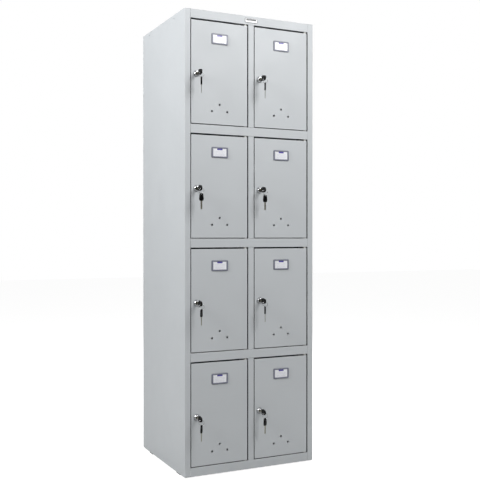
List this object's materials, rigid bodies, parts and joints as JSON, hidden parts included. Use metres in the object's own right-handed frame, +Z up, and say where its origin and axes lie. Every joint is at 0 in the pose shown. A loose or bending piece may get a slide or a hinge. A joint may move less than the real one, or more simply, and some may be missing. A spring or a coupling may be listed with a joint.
{
  "type": "locker cabinet",
  "caption": "Tall sheet steel locker cabinet: small compartments behind flush hinged doors, each with a cam lock, keys and a card holder.",
  "frame": {"origin": "on the floor under the centre of the whole bounding box, keys included", "axes": "+Z up, the doors face -Y, +X to the right as seen from the front"},
  "size_m": [0.575, 0.558, 1.83],
  "materials": {
    "powder_coat": "light grey fine-textured powder coat on steel sheet",
    "foot_plastic": "black rubber pad",
    "plate_white": "blank white plate",
    "holder_plastic": "moulded grey plastic",
    "lock_chrome": "polished chrome plate",
    "key_plastic": "black moulded key head",
    "key_steel": "nickel-plated brass key"
  },
  "bodies": {
    "cabinet": {"left_side_panel": "powder_coat", "right_side_panel": "powder_coat", "back_panel": "powder_coat", "top_panel": "powder_coat", "shelf_1": "powder_coat", "shelf_2": "powder_coat", "shelf_3": "powder_coat", "bottom_panel": "powder_coat", "partition_1": "powder_coat", "partition_2": "powder_coat", "partition_3": "powder_coat", "partition_4": "powder_coat", "foot_front_left": "foot_plastic", "foot_front_right": "foot_plastic", "foot_back_left": "foot_plastic", "foot_back_right": "foot_plastic", "name_plate": "plate_white"},
    "door_1_left": {"door_1_left": "powder_coat", "card_holder_1_left": "holder_plastic", "lock_body_1_left": "lock_chrome"},
    "key_1_left": {"lock_core_1_left": "key_plastic"},
    "spare_1_left": {"spare_key_1_left": "key_steel"},
    "door_1_right": {"door_1_right": "powder_coat", "card_holder_1_right": "holder_plastic", "lock_body_1_right": "lock_chrome"},
    "key_1_right": {"lock_core_1_right": "key_plastic"},
    "spare_1_right": {"spare_key_1_right": "key_steel"},
    "door_2_left": {"door_2_left": "powder_coat", "card_holder_2_left": "holder_plastic", "lock_body_2_left": "lock_chrome"},
    "key_2_left": {"lock_core_2_left": "key_plastic"},
    "spare_2_left": {"spare_key_2_left": "key_steel"},
    "door_2_right": {"door_2_right": "powder_coat", "card_holder_2_right": "holder_plastic", "lock_body_2_right": "lock_chrome"},
    "key_2_right": {"lock_core_2_right": "key_plastic"},
    "spare_2_right": {"spare_key_2_right": "key_steel"},
    "door_3_left": {"door_3_left": "powder_coat", "card_holder_3_left": "holder_plastic", "lock_body_3_left": "lock_chrome"},
    "key_3_left": {"lock_core_3_left": "key_plastic"},
    "spare_3_left": {"spare_key_3_left": "key_steel"},
    "door_3_right": {"door_3_right": "powder_coat", "card_holder_3_right": "holder_plastic", "lock_body_3_right": "lock_chrome"},
    "key_3_right": {"lock_core_3_right": "key_plastic"},
    "spare_3_right": {"spare_key_3_right": "key_steel"},
    "door_4_left": {"door_4_left": "powder_coat", "card_holder_4_left": "holder_plastic", "lock_body_4_left": "lock_chrome"},
    "key_4_left": {"lock_core_4_left": "key_plastic"},
    "spare_4_left": {"spare_key_4_left": "key_steel"},
    "door_4_right": {"door_4_right": "powder_coat", "card_holder_4_right": "holder_plastic", "lock_body_4_right": "lock_chrome"},
    "key_4_right": {"lock_core_4_right": "key_plastic"},
    "spare_4_right": {"spare_key_4_right": "key_steel"}
  },
  "joints": [
    {"name": "door_1_left_hinge", "type": "hinge", "parent": "cabinet", "child": "door_1_left", "pos_m": [-0.024, -0.213, 1.58875], "axis": [0, 0, 1], "range_deg": [0, 105]},
    {"name": "key_1_left_turn", "type": "hinge", "parent": "door_1_left", "child": "key_1_left", "pos_m": [-0.238, -0.221, 1.57875], "axis": [0, 1, 0], "range_deg": [0, 90]},
    {"name": "spare_1_left_swing", "type": "hinge", "parent": "key_1_left", "child": "spare_1_left", "pos_m": [-0.238, -0.27, 1.57875], "axis": [-1, 0, 0], "range_deg": [-25, 60]},
    {"name": "door_1_right_hinge", "type": "hinge", "parent": "cabinet", "child": "door_1_right", "pos_m": [0.252, -0.213, 1.58875], "axis": [0, 0, 1], "range_deg": [0, 105]},
    {"name": "key_1_right_turn", "type": "hinge", "parent": "door_1_right", "child": "key_1_right", "pos_m": [0.038, -0.221, 1.57875], "axis": [0, 1, 0], "range_deg": [0, 90]},
    {"name": "spare_1_right_swing", "type": "hinge", "parent": "key_1_right", "child": "spare_1_right", "pos_m": [0.038, -0.27, 1.57875], "axis": [-1, 0, 0], "range_deg": [-25, 60]},
    {"name": "door_2_left_hinge", "type": "hinge", "parent": "cabinet", "child": "door_2_left", "pos_m": [-0.024, -0.213, 1.14125], "axis": [0, 0, 1], "range_deg": [0, 105]},
    {"name": "key_2_left_turn", "type": "hinge", "parent": "door_2_left", "child": "key_2_left", "pos_m": [-0.238, -0.221, 1.13125], "axis": [0, 1, 0], "range_deg": [0, 90]},
    {"name": "spare_2_left_swing", "type": "hinge", "parent": "key_2_left", "child": "spare_2_left", "pos_m": [-0.238, -0.27, 1.13125], "axis": [-1, 0, 0], "range_deg": [-25, 60]},
    {"name": "door_2_right_hinge", "type": "hinge", "parent": "cabinet", "child": "door_2_right", "pos_m": [0.252, -0.213, 1.14125], "axis": [0, 0, 1], "range_deg": [0, 105]},
    {"name": "key_2_right_turn", "type": "hinge", "parent": "door_2_right", "child": "key_2_right", "pos_m": [0.038, -0.221, 1.13125], "axis": [0, 1, 0], "range_deg": [0, 90]},
    {"name": "spare_2_right_swing", "type": "hinge", "parent": "key_2_right", "child": "spare_2_right", "pos_m": [0.038, -0.27, 1.13125], "axis": [-1, 0, 0], "range_deg": [-25, 60]},
    {"name": "door_3_left_hinge", "type": "hinge", "parent": "cabinet", "child": "door_3_left", "pos_m": [-0.024, -0.213, 0.69375], "axis": [0, 0, 1], "range_deg": [0, 105]},
    {"name": "key_3_left_turn", "type": "hinge", "parent": "door_3_left", "child": "key_3_left", "pos_m": [-0.238, -0.221, 0.68375], "axis": [0, 1, 0], "range_deg": [0, 90]},
    {"name": "spare_3_left_swing", "type": "hinge", "parent": "key_3_left", "child": "spare_3_left", "pos_m": [-0.238, -0.27, 0.68375], "axis": [-1, 0, 0], "range_deg": [-25, 60]},
    {"name": "door_3_right_hinge", "type": "hinge", "parent": "cabinet", "child": "door_3_right", "pos_m": [0.252, -0.213, 0.69375], "axis": [0, 0, 1], "range_deg": [0, 105]},
    {"name": "key_3_right_turn", "type": "hinge", "parent": "door_3_right", "child": "key_3_right", "pos_m": [0.038, -0.221, 0.68375], "axis": [0, 1, 0], "range_deg": [0, 90]},
    {"name": "spare_3_right_swing", "type": "hinge", "parent": "key_3_right", "child": "spare_3_right", "pos_m": [0.038, -0.27, 0.68375], "axis": [-1, 0, 0], "range_deg": [-25, 60]},
    {"name": "door_4_left_hinge", "type": "hinge", "parent": "cabinet", "child": "door_4_left", "pos_m": [-0.024, -0.213, 0.24625], "axis": [0, 0, 1], "range_deg": [0, 105]},
    {"name": "key_4_left_turn", "type": "hinge", "parent": "door_4_left", "child": "key_4_left", "pos_m": [-0.238, -0.221, 0.23625], "axis": [0, 1, 0], "range_deg": [0, 90]},
    {"name": "spare_4_left_swing", "type": "hinge", "parent": "key_4_left", "child": "spare_4_left", "pos_m": [-0.238, -0.27, 0.23625], "axis": [-1, 0, 0], "range_deg": [-25, 60]},
    {"name": "door_4_right_hinge", "type": "hinge", "parent": "cabinet", "child": "door_4_right", "pos_m": [0.252, -0.213, 0.24625], "axis": [0, 0, 1], "range_deg": [0, 105]},
    {"name": "key_4_right_turn", "type": "hinge", "parent": "door_4_right", "child": "key_4_right", "pos_m": [0.038, -0.221, 0.23625], "axis": [0, 1, 0], "range_deg": [0, 90]},
    {"name": "spare_4_right_swing", "type": "hinge", "parent": "key_4_right", "child": "spare_4_right", "pos_m": [0.038, -0.27, 0.23625], "axis": [-1, 0, 0], "range_deg": [-25, 60]}
  ]
}
